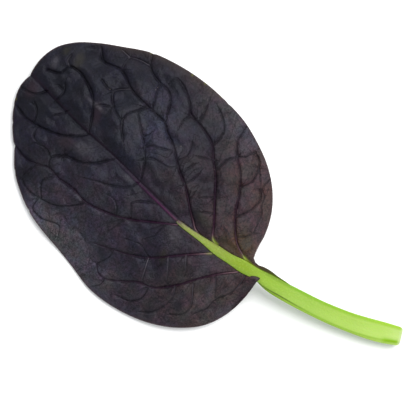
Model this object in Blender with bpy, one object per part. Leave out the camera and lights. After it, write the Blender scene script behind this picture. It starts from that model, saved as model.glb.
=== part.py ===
"""A single purple bok choy leaf, as picked and laid face up: its dark puckered blade and its green stalk.

Lengths in this file are in millimetres, and MM turns them into metres where a mesh is made. In plan, x runs
across the leaf and y along it, from the stalk's cut end, below zero, to the tip. y is 0 where the blade
begins. z is the height above the surface that the leaf lies on.
"""

import math

import bmesh
import bpy
import numpy as np
from mathutils import Vector
from mathutils.geometry import delaunay_2d_cdt

MM = 0.001

# Middle of the whole leaf's plan, which is placed over the origin.
PLAN_CENTRE = (-1.8, 19.7)

# The line from the cut end to the tip, as (y, value) stations: where the rib's middle lies across the leaf,
# half its width, and the heights of its upper face and of its underside.
CUT_END = -40.0
TIP = 80.0
RIB_X = (
    (CUT_END, 12.1), (-34, 9.0), (-27, 6.0), (-20, 3.6), (-12, 1.35), (-5, -0.1), (0, -0.5), (4, -1.3),
    (9, -2.2), (17, -3.0), (24, -3.55), (32, -3.2), (40, -2.7), (50, -2.0), (60, -1.7), (TIP, 0.0),
)
RIB_HALF_WIDTH = (
    (CUT_END, 2.45), (-36, 2.75), (-27, 2.6), (-18, 2.45), (-9, 2.35), (-4, 2.1), (0, 1.5), (4, 1.65),
    (8, 1.3), (12, 1.25), (16, 0.85), (25, 0.5),
)
RIB_TOP = ((CUT_END, 3.7), (-28, 4.4), (-12, 6.4), (0, 7.6), (20, 8.7), (40, 8.3), (60, 6.1), (TIP, 2.4))
RIB_BOTTOM = ((CUT_END, -0.5), (-32, -0.3), (-20, 1.5), (-8, 3.5), (0, 4.6), (12, 5.9), (25, 7.2))

# The green of the stalk ends here, up the rib. Past it the rib is a thin ridge of the blade.
GREEN_END = 24.5
RIB_GAP = 0.3
UPPER_RIB_STEPS = 30

# The stalk's section as shares of half its width and of its depth, from its right rim round the underside
# to its left rim, and back across the shallow channel of its upper face.
STALK_ROUND = (
    (1.0, 0.0), (0.97, 0.28), (0.82, 0.62), (0.52, 0.9), (0.2, 1.0), (-0.2, 1.0),
    (-0.56, 0.9), (-0.87, 0.62), (-1.0, 0.32), (-0.95, 0.1), (-0.8, 0.0),
)
CHANNEL_ACROSS = (-0.5, -0.1, 0.3, 0.7)
CHANNEL_DEPTH = ((CUT_END, 0.3), (-10, 0.35), (5, 0.1), (25, 0.0))
STALK_STEP = 1.6
SLOPE_SPAN = 1.0

# The blade's margin, from above the right wing, round the tip, to where the left lobe ends beside the stalk.
# The wing is a narrow strip of blade that runs down the stalk: (y, width) stations from its foot up.
MARGIN = (
    (2.6, 3.3), (5.0, 4.1), (9.5, 5.1), (14.5, 7.5), (19.4, 11.5), (24.3, 18.8), (27.9, 27.8),
    (29.1, 39.0), (27.9, 52.0), (24.6, 61.8), (18.3, 71.8), (12.2, 78.2), (5.2, 80.5), (0.4, 80.0),
    (-4.2, 79.9), (-11.0, 76.2), (-18.0, 69.9), (-25.0, 61.6), (-28.8, 51.4), (-30.5, 41.0),
    (-32.7, 30.2), (-31.8, 20.8), (-28.0, 11.0), (-22.0, 3.3), (-14.0, -1.2), (-7.2, -1.9), (-3.6, -1.6),
)
MARGIN_STEP = 1.7
RIGHT_WING = ((-7.5, 0.5), (-3.5, 0.75), (-1.0, 0.8), (1.6, 0.55))
WING_STEPS = 6
LEFT_FOOT = -1.7
SLOT_STEP = 1.5

# The veins that show from a step away, as (width of the valley, depth, route). They leave the rib and bend
# towards the tip, and cross veins loop between them.
SIDE_VEIN = (1.7, 0.85)
CROSS_VEIN = (1.3, 0.5)
SIDE_ROUTES = (
    ((1.6, 6.6), (4.0, 11.0), (8.0, 14.6), (16.7, 20.4), (22.7, 26.6), (26.0, 27.6)),
    ((0.2, 15.6), (7.5, 21.4), (15.0, 28.3), (19.1, 35.1), (20.0, 40.6), (25.0, 49.6)),
    ((-0.8, 21.8), (4.6, 29.0), (10.8, 38.7), (13.8, 45.0), (14.8, 57.0), (16.8, 62.3), (16.0, 69.0)),
    ((-2.4, 39.2), (2.0, 41.0), (6.5, 45.3), (11.0, 51.3)),
    ((-1.1, 57.9), (6.2, 62.8), (9.2, 70.8), (8.2, 73.4), (4.4, 75.6)),
    ((-4.6, 5.2), (-11.3, 10.4), (-16.8, 14.2), (-21.7, 19.2), (-27.6, 29.0), (-26.4, 33.4)),
    ((-6.4, 14.6), (-11.5, 20.0), (-15.8, 24.3), (-20.3, 32.5), (-22.4, 37.6)),
    ((-5.0, 25.4), (-12.0, 35.6), (-15.6, 46.3), (-15.4, 57.0), (-16.5, 62.9), (-17.0, 67.6)),
    ((-2.4, 39.7), (-6.0, 41.2), (-8.5, 45.3), (-11.0, 51.5)),
    ((-1.8, 48.4), (-6.1, 51.0), (-10.1, 58.5), (-12.9, 61.0)),
    ((-1.1, 57.8), (-5.5, 61.2), (-9.0, 70.6), (-8.9, 75.2)),
)
CROSS_ROUTES = (
    ((13.6, 44.4), (20.0, 47.7), (21.1, 52.3), (24.8, 58.4)),
    ((22.7, 56.6), (22.0, 60.6), (16.8, 62.3)),
    ((14.8, 57.0), (11.2, 60.0), (6.7, 53.2), (11.0, 51.3)),
    ((14.2, 18.0), (20.5, 17.5), (23.4, 20.8), (19.4, 24.2), (13.5, 26.4)),
    ((18.2, 31.6), (23.4, 31.9), (26.2, 36.0)),
    ((7.9, 14.4), (12.2, 12.0), (19.2, 14.0)),
    ((-4.4, 2.0), (-9.6, 2.2), (-16.1, 4.0), (-21.6, 7.8), (-15.0, 13.0)),
    ((-21.7, 19.2), (-26.2, 19.2), (-29.6, 24.6), (-27.6, 29.0)),
    ((-15.8, 24.3), (-21.7, 19.2)),
    ((-15.6, 46.3), (-21.8, 52.3), (-23.4, 59.5), (-21.8, 62.6), (-16.5, 62.9)),
    ((-11.0, 51.5), (-15.5, 53.0)),
    ((-12.9, 61.0), (-15.6, 59.8)),
)
VEIN_STEP = 1.9
SHOULDER = 1.1

# The blade as a sheet: its thickness, and the ridge of the rib under its upper part.
BLADE_THICKNESS = 0.75
RIDGE_DEPTH = ((GREEN_END, 1.1), (45, 0.8), (65, 0.5), (TIP, 0.2))
RIDGE_WIDTH = 1.0

# The sheet arches from the rib down to its margin, which stays up where it nears the stalk. It also rises
# a little beside the rib, as (width, rise). The margin's waves are (size, count round, start).
MARGIN_HEIGHT = 1.4
MARGIN_LIFT_WIDTH = 7.5
ARCH_POWER = 1.8
RIB_VALLEY = (4.0, 0.9)
MARGIN_WAVES = ((0.5, 3, 1.2), (0.35, 5, 0.6), (0.3, 9, 2.0))
WAVE_REACH = 9.0
WAVE_CENTRE = (0.0, 40.0)
FLOOR_SOFTNESS = 0.4

# How closely the sheet is filled with points, and how near two of them may come.
FILL_STEP = 2.5
CLOSEST = 0.85
MARGIN_CLEAR = 0.8

# Colour and roughness of each finish, and the angle past which a fold is shaded as a sharp edge.
BLADE_FINISH = ((0.022, 0.018, 0.024, 1.0), 0.45)
STALK_FINISH = ((0.33, 0.62, 0.06, 1.0), 0.35)
SHARP_DEGREES = 50


def along(stations, at):
    """Values at one or more places of the smooth curve through (place, value) stations."""
    places, values = np.array(stations, float).T
    slopes = np.gradient(values, places)
    at = np.clip(at, places[0], places[-1])
    i = np.clip(np.searchsorted(places, at) - 1, 0, len(places) - 2)
    step = places[i + 1] - places[i]
    t = (at - places[i]) / step
    rise = values[i + 1] - values[i]
    start, end = slopes[i] * step - rise, rise - slopes[i + 1] * step
    return values[i] + t * rise + t * (1 - t) * ((1 - t) * start + t * end)


def smooth_line(points, step):
    """The smooth curve through these points of the plan, with a point about every step."""
    points = np.array(points, float)
    travelled = np.concatenate([[0], np.cumsum(np.linalg.norm(np.diff(points, axis=0), axis=1))])
    count = max(2, round(travelled[-1] / step) + 1)
    at = np.linspace(0, travelled[-1], count)
    across = along(np.column_stack([travelled, points[:, 0]]), at)
    lengthways = along(np.column_stack([travelled, points[:, 1]]), at)
    return np.column_stack([across, lengthways])


def distances(points, line):
    """How far each point of the plan lies from a line of points."""
    starts, spans = line[:-1], np.diff(line, axis=0)
    offsets = points[:, None] - starts
    share = np.clip((offsets * spans).sum(2) / (spans**2).sum(1), 0, 1)
    return np.linalg.norm(offsets - share[..., None] * spans, axis=2).min(1)


def inside(points, loop):
    """Which points lie in a closed loop of the plan."""
    x, y = points[:, 0, None], points[:, 1, None]
    (x0, y0), (x1, y1) = loop.T, np.roll(loop, -1, axis=0).T
    crosses = (y0 > y) != (y1 > y)
    reach = x0 + (y - y0) * (x1 - x0) / np.where(y1 == y0, 1, y1 - y0)
    return (crosses & (x < reach)).sum(1) % 2 == 1


def rib_edge(side, y, out=0.0):
    """The wall of the blade's slot, which runs beside the green rib with a small gap, or a line past it."""
    return np.column_stack([along(RIB_X, y) + side * (along(RIB_HALF_WIDTH, y) + RIB_GAP + out), y])


def slot_side(side, foot):
    """One side of the slot, from its foot up to where the green ends, with a point about every step."""
    top = GREEN_END + RIB_GAP
    return rib_edge(side, np.linspace(foot, top, round((top - foot) / SLOT_STEP) + 1))


def blade_loop():
    """The blade's closed outline: its wing and margin, and the slot that the green rib fills."""
    wing_y = np.linspace(RIGHT_WING[0][0], RIGHT_WING[-1][0], WING_STEPS)
    wing = rib_edge(1, wing_y, along(RIGHT_WING, wing_y))
    top = GREEN_END + RIB_GAP
    end = np.array([[along(RIB_X, top), top]])
    right = slot_side(1, RIGHT_WING[0][0])[::-1]
    return np.vstack([wing, smooth_line(MARGIN, MARGIN_STEP), slot_side(-1, LEFT_FOOT), end, right])


def upper_rib():
    """The line of the rib past its green part, up to the tip."""
    y = np.linspace(GREEN_END + RIB_GAP, TIP - MARGIN_CLEAR, UPPER_RIB_STEPS)
    return np.column_stack([along(RIB_X, y), y])


def veins():
    """Every vein of the sheet as (width, depth, line). Lines that meet share a point."""
    found = [(*SIDE_VEIN, upper_rib())]
    for look, routes in ((SIDE_VEIN, SIDE_ROUTES), (CROSS_VEIN, CROSS_ROUTES)):
        for route in routes:
            line = smooth_line(route, VEIN_STEP)
            known = np.vstack([vein[2] for vein in found])
            for end in (0, -1):
                gaps = np.linalg.norm(known - line[end], axis=1)
                if gaps.min() < VEIN_STEP:
                    line[end] = known[gaps.argmin()]
            found.append((*look, line))
    return found


def relief(points, network):
    """How far the veins pull the sheet down at each point."""
    pulls = [depth * np.exp(-((distances(points, line) / width) ** 2)) for width, depth, line in network]
    return np.max(pulls, axis=0)


def sheet_heights(points, network):
    """The heights of the blade's upper face and of its underside at each point."""
    x, y = points.T
    off = np.maximum(np.abs(x - along(RIB_X, y)) - along(RIB_HALF_WIDTH, y), 0)
    inward = distances(points, smooth_line(MARGIN, MARGIN_STEP))
    crown = along(RIB_TOP, y)
    lift = np.exp(-((off / MARGIN_LIFT_WIDTH) ** 2))
    turn = np.arctan2(y - WAVE_CENTRE[1], x - WAVE_CENTRE[0])
    waves = sum(size * np.sin(count * turn + start) for size, count, start in MARGIN_WAVES)
    hem = MARGIN_HEIGHT + waves * np.exp(-inward / WAVE_REACH)
    hem += (crown - hem) * lift
    fall = (off / (off + inward + MARGIN_CLEAR)) ** ARCH_POWER
    valley_width, valley_rise = RIB_VALLEY
    beside_rib = valley_rise * (1 - np.exp(-((off / valley_width) ** 2))) * (1 - fall)
    low = crown + (hem - crown) * fall + beside_rib - relief(points, network) - BLADE_THICKNESS
    settled = (low + np.sqrt(low**2 + FLOOR_SOFTNESS**2)) / 2
    under_rib = np.exp(-((off / RIDGE_WIDTH) ** 2)) * (y > GREEN_END) * along(RIDGE_DEPTH, y)
    return settled + BLADE_THICKNESS, settled - under_rib


def fill_points(loop, lines):
    """Points in the sheet: along each vein's two shoulders, then a staggered pattern over the rest."""
    rows = []
    for line in lines:
        heading = np.gradient(line, axis=0)
        normal = np.column_stack([-heading[:, 1], heading[:, 0]])
        normal /= np.linalg.norm(normal, axis=1)[:, None]
        rows += [line + SHOULDER * normal, line - SHOULDER * normal]
    row_gap = FILL_STEP * math.sqrt(3) / 2
    low, high = loop.min(0), loop.max(0)
    for row, y in enumerate(np.arange(low[1], high[1], row_gap)):
        x = np.arange(low[0] + FILL_STEP / 2 * (row % 2), high[0], FILL_STEP)
        rows.append(np.column_stack([x, np.full(len(x), y)]))
    points = np.vstack(rows)
    closed_loop = np.vstack([loop, loop[:1]])
    points = points[inside(points, loop) & (distances(points, closed_loop) > MARGIN_CLEAR)]
    taken = np.vstack(lines)
    for point in points:
        if np.linalg.norm(taken - point, axis=1).min() > CLOSEST:
            taken = np.vstack([taken, point])
    return taken[sum(len(line) for line in lines):]


def triangulated_sheet(network):
    """The blade's plan cut into triangles that follow its veins, as points and triples of indices."""
    loop = blade_loop()
    lines = [vein[2] for vein in network]
    edges = [(i, (i + 1) % len(loop)) for i in range(len(loop))]
    placed = len(loop)
    for line in lines:
        edges += [(i, i + 1) for i in range(placed, placed + len(line) - 1)]
        placed += len(line)
    points = np.vstack([loop, *lines, fill_points(loop, lines)])
    inside_only, weld = 1, 0.02
    made = delaunay_2d_cdt([Vector(point) for point in points], edges, [], inside_only, weld)
    return np.array([tuple(point) for point in made[0]]), made[2]


def new_object(name, bm, finish, parent):
    """The finished mesh as one named object with its own material."""
    colour, roughness = finish
    bmesh.ops.recalc_face_normals(bm, faces=bm.faces)
    mesh = bpy.data.meshes.new(name)
    bm.to_mesh(mesh)
    bm.free()
    mesh.shade_smooth()
    mesh.set_sharp_from_angle(angle=math.radians(SHARP_DEGREES))
    material = bpy.data.materials.new(name)
    material.use_nodes = True
    shader = material.node_tree.nodes["Principled BSDF"]
    shader.inputs["Base Color"].default_value = colour
    shader.inputs["Roughness"].default_value = roughness
    mesh.materials.append(material)
    obj = bpy.data.objects.new(name, mesh)
    obj.parent = parent
    parent.users_collection[0].objects.link(obj)


def build_blade(parent):
    """The dark blade: a sheet cut to the margin, pressed into its veins, and given its thickness."""
    network = veins()
    plan, triangles = triangulated_sheet(network)
    top, bottom = sheet_heights(plan, network)
    bm = bmesh.new()
    thickness = bm.verts.layers.float.new("thickness")
    for (x, y), low, high in zip(plan, bottom, top):
        bm.verts.new((x * MM, y * MM, low * MM))[thickness] = (high - low) * MM
    bm.verts.ensure_lookup_table()
    for triangle in triangles:
        bm.faces.new([bm.verts[i] for i in triangle])
    made = bmesh.ops.extrude_face_region(bm, geom=bm.faces[:], use_keep_orig=True)["geom"]
    for vert in made:
        if isinstance(vert, bmesh.types.BMVert):
            vert.co.z += vert[thickness]
    new_object("leaf_blade", bm, BLADE_FINISH, parent)


def build_stalk(parent):
    """The green stalk: rings drawn along the rib, from the cut end to where the green ends, and bridged."""
    count = round((GREEN_END - CUT_END) / STALK_STEP) + 1
    bm = bmesh.new()
    rings = [stalk_ring(bm, y) for y in np.linspace(CUT_END, GREEN_END, count)]
    for ring, following in zip(rings, rings[1:]):
        bmesh.ops.bridge_loops(bm, edges=ring + following)
    bmesh.ops.holes_fill(bm, edges=rings[0] + rings[-1])
    new_object("leaf_stalk", bm, STALK_FINISH, parent)


def stalk_ring(bm, y):
    """The edges of one closed section of the stalk, square to its run in plan and flat where it lies down."""
    middle = np.array([along(RIB_X, y), y])
    near = max(y, CUT_END + SLOPE_SPAN / 2)
    sideways = along(RIB_X, near + SLOPE_SPAN / 2) - along(RIB_X, near - SLOPE_SPAN / 2)
    square = np.array([SLOPE_SPAN, -sideways]) / math.hypot(SLOPE_SPAN, sideways)
    half, top = along(RIB_HALF_WIDTH, y), along(RIB_TOP, y)
    depth = top - along(RIB_BOTTOM, y)
    channel = along(CHANNEL_DEPTH, y) / depth
    section = STALK_ROUND + tuple((share, channel) for share in CHANNEL_ACROSS)
    verts = []
    for share, down in section:
        x, station = middle + square * share * half
        verts.append(bm.verts.new((x * MM, station * MM, max(top - down * depth, 0) * MM)))
    return [bm.edges.new((a, b)) for a, b in zip(verts, verts[1:] + verts[:1])]


def main():
    for obj in list(bpy.data.objects):
        bpy.data.objects.remove(obj)
    collection = bpy.data.collections.new("purple bok choy leaf")
    bpy.context.scene.collection.children.link(collection)
    leaf = bpy.data.objects.new("leaf", None)
    leaf.location = (-PLAN_CENTRE[0] * MM, -PLAN_CENTRE[1] * MM, 0)
    collection.objects.link(leaf)
    build_blade(leaf)
    build_stalk(leaf)


main()
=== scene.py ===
"""The finished purple bok choy leaf: its puckered, veined blade and its moist green stalk, on a white table.

Shapes are worked out in millimetres in the leaf's own plan, with y from the stalk's cut end, below zero, to
the tip, and x across. PLAN_CENTRE is the place in plan that lies at the world's origin.
"""

import math

import bmesh
import bpy
import numpy as np
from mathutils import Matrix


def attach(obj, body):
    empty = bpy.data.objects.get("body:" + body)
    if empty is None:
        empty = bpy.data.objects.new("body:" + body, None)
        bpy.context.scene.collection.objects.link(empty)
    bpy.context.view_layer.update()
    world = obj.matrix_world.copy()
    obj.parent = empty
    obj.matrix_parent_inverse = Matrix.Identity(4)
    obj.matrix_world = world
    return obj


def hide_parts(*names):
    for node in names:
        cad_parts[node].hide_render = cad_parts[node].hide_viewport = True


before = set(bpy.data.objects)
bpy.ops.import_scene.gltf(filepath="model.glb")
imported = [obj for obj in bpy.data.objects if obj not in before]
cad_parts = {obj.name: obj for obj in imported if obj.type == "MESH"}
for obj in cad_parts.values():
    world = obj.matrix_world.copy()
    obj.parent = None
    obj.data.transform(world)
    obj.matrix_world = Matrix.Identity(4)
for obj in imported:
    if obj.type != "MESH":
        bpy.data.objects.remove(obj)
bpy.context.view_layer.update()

MM = 0.001
PLAN_CENTRE = np.array([-1.8, 19.7, 0.0])

# The run of the stalk and rib, as (y, value) stations: where its middle lies, half its width, and the heights
# of its upper face and of its underside.
CUT_END = -40.0
TIP = 80.0
GREEN_END = 24.5
RIB_X = (
    (CUT_END, 12.1), (-34, 9.0), (-27, 6.0), (-20, 3.65), (-12, 1.6), (-5, 0.1), (0, -0.5), (4, -1.3),
    (9, -2.2), (17, -3.0), (24, -3.55), (32, -3.2), (40, -2.7), (50, -2.0), (60, -1.7), (TIP, 0.0),
)
RIB_HALF_WIDTH = (
    (CUT_END, 2.45), (-36, 2.75), (-27, 2.6), (-18, 2.45), (-9, 2.35), (-4, 2.1), (0, 1.5), (4, 1.65),
    (8, 1.3), (12, 1.25), (16, 0.85), (25, 0.5),
)
RIB_TOP = ((CUT_END, 3.7), (-28, 4.4), (-12, 6.4), (0, 7.6), (20, 8.7), (40, 8.3), (60, 6.1), (TIP, 2.4))
RIB_BOTTOM = ((CUT_END, -0.5), (-32, -0.3), (-20, 1.5), (-8, 3.5), (0, 4.6), (12, 5.9), (25, 7.2))

# The blade's margin on each side, out and round to the tip. On the right it starts as a narrow wing on the
# stalk. On the left it starts inside the stalk, and comes out over it as the tip of the lobe.
RIGHT_MARGIN = (
    (3.3, -9.5), (3.05, -7.0), (2.75, -4.5), (2.65, -2.5), (2.2, -0.2), (1.65, 1.2), (1.65, 2.1), (2.05, 3.1),
    (4.2, 4.0), (8.9, 5.0), (14.2, 7.3), (19.2, 11.3), (22.6, 15.6), (26.4, 23.5), (27.8, 27.8),
    (28.9, 37.6), (28.9, 43.2), (27.7, 52.3), (25.8, 58.9), (21.7, 66.4), (18.3, 71.8), (13.9, 76.9),
    (10.7, 79.1), (5.0, 80.4), (0.3, 79.9),
)
LEFT_MARGIN = (
    (-0.1, -9.0), (-0.8, -5.0), (-1.1, -2.6), (-1.0, -1.5), (-1.5, -1.35), (-3.3, -1.5), (-7.5, -1.8),
    (-14.0, -1.1), (-20.1, 1.6), (-24.7, 6.0), (-27.9, 10.7), (-31.7, 21.1), (-32.6, 30.2), (-30.9, 39.3),
    (-30.1, 43.7), (-29.0, 50.5), (-27.6, 56.0), (-25.2, 61.2), (-22.0, 66.1), (-17.6, 70.1),
    (-13.7, 74.1), (-11.2, 76.2), (-7.4, 78.6), (-3.8, 79.8), (-0.3, 79.8),
)

# Millimetres between the points of a margin's finished line, and the first point of each margin that is
# clear of the stalk.
MARGIN_STEP = 0.7
RIGHT_FREE = 6
LEFT_FREE = 5

# Where along the rib each stretch of margin is reached: (y of the rib, index of the margin's point).
WING_FOOT = -9.5
LAST_ROW = TIP - 0.4
RIGHT_REACH = ((WING_FOOT, 0), (2.0, 5), (LAST_ROW, 24))
LEFT_REACH = ((WING_FOOT, 0), (-1.4, 3), (LAST_ROW, 24))

# Small nicks of the margin, as (x, y, width, depth).
NICKS = (
    (-8.8, 77.3, 0.5, 0.5), (-12.4, 75.0, 0.5, 0.3), (-17.0, 70.6, 0.6, 0.45), (0.0, 80.0, 0.7, 0.5),
    (-22.1, 66.0, 0.5, 0.25), (28.6, 35.0, 0.5, 0.2), (25.8, 59.0, 0.5, 0.25), (-27.4, 56.6, 0.5, 0.2),
)

# Yellow-green spots by the margin, as (x, y, radius).
SPOTS = (
    (25.5, 59.5, 0.25), (28.2, 47.3, 0.25), (28.8, 43.2, 0.3), (28.9, 37.8, 0.25), (-7.2, 78.4, 0.2),
)

# The veins, by kind. Each runs from where it leaves its parent vein.
SIDE_VEINS = (
    ((0.5, 3.1), (0.65, 4.8), (1.1, 6.4), (2.1, 8.9), (4.1, 11.3), (7.9, 14.6), (12.4, 17.1), (16.7, 20.4),
     (19.6, 24.0), (22.7, 26.6), (27.0, 27.5)),
    ((-1.4, 12.9), (-1.2, 14.3), (-0.4, 15.3), (0.9, 16.2), (3.6, 18.2), (7.5, 21.4), (11.9, 24.9),
     (14.9, 28.3), (17.5, 30.9), (19.1, 35.1), (19.7, 38.6), (20.0, 40.6), (21.9, 42.6), (23.6, 45.4),
     (24.9, 49.6)),
    ((-2.5, 17.6), (-2.3, 18.9), (-2.0, 20.0), (-1.0, 21.4), (0.7, 23.9), (4.6, 29.0), (7.1, 33.6),
     (10.6, 38.4), (12.6, 42.6), (13.6, 44.0), (14.0, 49.3), (14.8, 56.9), (16.8, 62.3), (15.7, 67.8),
     (17.8, 70.3)),
    ((-1.1, 57.9), (2.6, 59.9), (6.2, 62.8), (8.4, 66.9), (9.2, 70.8), (8.6, 73.2), (5.8, 73.8), (4.1, 77.2)),
    ((-3.2, 4.1), (-6.8, 7.4), (-11.0, 10.5), (-16.8, 14.2), (-21.5, 19.0), (-22.3, 21.7), (-25.7, 26.1),
     (-27.7, 29.3), (-27.7, 31.8), (-26.2, 33.6)),
    ((-4.0, 12.4), (-8.5, 17.1), (-11.9, 20.3), (-15.7, 24.1), (-18.7, 28.9), (-20.3, 32.5), (-22.4, 37.6)),
    ((-4.3, 24.2), (-8.0, 29.6), (-12.0, 35.6), (-14.7, 42.4), (-15.6, 46.3), (-15.1, 51.7), (-15.6, 55.7),
     (-15.2, 59.7), (-16.5, 62.9), (-17.5, 66.4), (-16.9, 69.9)),
    ((-2.0, 57.8), (-5.5, 61.2), (-7.7, 65.5), (-9.0, 70.6), (-9.2, 74.1), (-8.6, 76.8)),
    ((-2.6, 48.4), (-6.1, 51.0), (-8.5, 54.2), (-10.1, 58.5), (-12.9, 61.0), (-15.2, 59.7)),
)
BRANCH_VEINS = (
    ((7.5, 13.7), (12.2, 12.0), (15.5, 12.2), (16.9, 13.4), (20.2, 13.6)),
    ((14.2, 18.0), (16.3, 16.9), (20.5, 17.5), (22.8, 19.1), (23.5, 20.9)),
    ((13.5, 25.8), (17.0, 25.6), (19.4, 24.2), (20.8, 22.5), (23.5, 21.4)),
    ((18.2, 30.7), (20.7, 30.6), (23.4, 31.9), (25.1, 34.1), (26.0, 35.9)),
    ((20.1, 38.2), (22.6, 38.2), (24.5, 38.8)),
    ((13.9, 44.2), (17.2, 45.9), (19.9, 47.7), (21.1, 50.2), (21.0, 52.3), (22.6, 57.0), (25.6, 59.0)),
    ((14.3, 49.2), (17.8, 50.8), (20.7, 52.1)),
    ((22.8, 57.1), (22.0, 60.6), (20.9, 62.7), (17.1, 62.3)),
    ((20.9, 62.7), (21.0, 65.7)),
    ((14.7, 57.0), (11.2, 59.9), (8.2, 57.3), (6.6, 53.2)),
    ((13.7, 50.5), (11.7, 51.7), (9.7, 52.9), (6.8, 53.1), (3.6, 50.1)),
    ((8.6, 73.2), (9.5, 74.7), (11.1, 74.9)),
    ((-0.3, 70.0), (2.5, 69.9), (4.2, 70.9)),
    ((-2.7, 2.0), (-6.7, 1.5), (-9.6, 2.2), (-12.4, 3.7), (-16.1, 4.0), (-19.0, 5.4)),
    ((-8.3, 7.3), (-12.4, 4.2)),
    ((-13.4, 10.8), (-19.7, 7.3), (-21.9, 8.1), (-23.5, 10.2)),
    ((-16.7, 14.1), (-19.8, 12.6), (-23.4, 13.0), (-26.7, 14.5), (-28.4, 16.8)),
    ((-22.1, 19.1), (-24.3, 18.6), (-27.7, 20.2), (-29.2, 24.3)),
    ((-27.7, 29.3), (-29.7, 29.3), (-31.4, 30.5)),
    ((-20.3, 32.5), (-21.8, 32.2), (-25.8, 33.4)),
    ((-15.9, 24.2), (-22.2, 21.5)),
    ((-15.7, 46.0), (-18.8, 48.5), (-21.8, 52.3), (-22.9, 56.3), (-23.4, 59.5), (-22.2, 63.3), (-16.7, 62.9)),
    ((-22.9, 56.6), (-26.3, 56.0), (-26.9, 53.8), (-25.5, 47.1), (-27.0, 46.3)),
    ((-15.7, 57.1), (-19.1, 58.8), (-22.6, 56.3)),
    ((-12.9, 61.0), (-11.9, 63.3), (-12.5, 66.3)),
    ((-8.6, 70.5), (-5.7, 72.2), (-4.7, 74.0)),
    ((-0.4, 73.6), (-2.7, 75.1), (-3.6, 77.2), (-4.0, 79.1)),
)
FAINT_VEINS = (
    ((-1.4, 39.3), (2.0, 41.1), (6.1, 44.9), (7.1, 46.2), (11.1, 51.5)),
    ((-11.0, 50.6), (-9.8, 48.3), (-8.6, 45.3), (-7.0, 42.7), (-4.8, 40.1), (-2.9, 39.3)),
    ((-8.6, 70.6), (-6.8, 71.2), (-5.5, 72.6), (-5.3, 74.4)),
    ((-8.9, 69.3), (-10.7, 68.7), (-11.9, 67.9), (-11.9, 65.8), (-12.1, 63.1), (-13.2, 61.0)),
    ((6.8, 52.9), (4.7, 51.3), (3.1, 49.4)),
    ((11.2, 60.0), (10.9, 61.7), (11.5, 64.3)),
    ((8.2, 57.1), (6.4, 59.9), (5.1, 61.3)),
    ((5.3, 44.1), (7.0, 42.8), (8.0, 40.6), (9.6, 38.0)),
    ((3.1, 42.1), (4.5, 40.6), (5.1, 38.1), (5.7, 35.6), (7.6, 34.0)),
    ((19.7, 40.4), (17.7, 41.0), (15.9, 40.7)),
    ((8.9, 35.4), (10.4, 34.4), (12.7, 34.5), (14.5, 35.4)),
    ((7.7, 31.8), (10.4, 31.4)),
    ((-16.7, 62.9), (-19.0, 63.0), (-20.5, 62.7), (-22.2, 63.5)),
    ((-15.1, 57.0), (-17.2, 57.5), (-18.7, 58.7)),
    ((2.8, 70.1), (2.9, 71.9)),
    ((-3.5, 67.4), (-2.2, 66.5), (-0.8, 65.9)),
    ((-8.8, 59.6), (-10.4, 58.6)),
    ((7.5, 46.2), (8.2, 45.6), (9.3, 45.3)),
    ((23.7, 45.4), (24.8, 48.1), (24.7, 50.0), (22.8, 50.4)),
    ((19.7, 38.2), (21.1, 37.9), (22.7, 38.1)),
    ((15.0, 27.8), (13.7, 30.0), (12.9, 31.8)),
    ((4.9, 29.9), (7.3, 28.9), (9.4, 28.7)),
    ((8.2, 32.0), (10.5, 31.2)),
    ((21.3, 18.0), (18.8, 15.1), (17.4, 13.8), (16.5, 11.7)),
    ((16.5, 11.7), (13.8, 10.5), (12.0, 9.0), (9.6, 8.3), (7.1, 7.6)),
    ((-12.0, 35.4), (-14.3, 35.9), (-16.4, 36.5)),
    ((-6.4, 26.6), (-8.5, 26.8), (-10.7, 26.9), (-12.0, 27.8)),
    ((-12.2, 20.5), (-14.5, 18.7), (-17.1, 16.9)),
    ((-8.7, 17.3), (-12.1, 14.7)),
    ((-13.0, 37.9), (-10.7, 39.9), (-10.1, 41.5), (-10.3, 43.1)),
    ((-10.5, 34.9), (-7.9, 36.9), (-5.3, 34.6), (-4.3, 32.9)),
    ((3.6, 10.1), (5.5, 8.3), (7.2, 7.5)),
    ((-15.8, 24.0), (-14.6, 28.1), (-15.9, 31.9)),
    ((5.6, 23.9), (7.5, 21.8)),
    ((2.6, 21.3), (4.3, 19.0)),
    ((3.1, 26.3), (5.0, 26.4)),
)

# Creases where the sheet is folded rather than veined.
FOLDS = (
    ((-26.2, 33.4), (-26.3, 35.4), (-24.4, 38.0), (-23.2, 40.8), (-22.8, 43.4)),
    ((-15.7, 24.1), (-18.7, 28.9), (-20.3, 32.5), (-22.4, 37.6)),
)

# How each kind presses the blade: width and depth of its valley, width and depth of the groove in it, and
# how strongly its line shows at its start and at its end.
VEIN_LOOKS = (
    (SIDE_VEINS, 0.9, 0.7, 0.3, 0.15, 1.0, 0.8),
    (BRANCH_VEINS, 0.7, 0.36, 0.26, 0.14, 0.9, 0.75),
    (FAINT_VEINS, 0.5, 0.17, 0.24, 0.1, 0.8, 0.65),
    (FOLDS, 1.8, 1.1, 0.5, 0.1, 0.4, 0.2),
)

# The colours of each side vein from where it leaves the rib: how green it starts, how pale it is and over
# what length, and how purple it is and over what length. A vein that only shows dark has NO_START. The green
# fades over GREEN_LENGTH, and where it is full it hides GREEN_HIDES of the dark line.
NO_START = (0, 0, 1, 0, 1)
VEIN_STARTS = (
    (1.5, 1.0, 4.5, 1.0, 13.0), (0.9, 1.0, 2.6, 1.0, 15.0), (0.3, 0.8, 4.0, 0.8, 11.0), NO_START,
    (0.0, 0.6, 5.0, 0.9, 26.0), (0.5, 0.8, 4.0, 0.9, 22.0), (0.0, 0.35, 2.0, 0.9, 20.0), NO_START,
    NO_START,
)
GREEN_LENGTH = 2.6
GREEN_HIDES = 0.9

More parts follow.
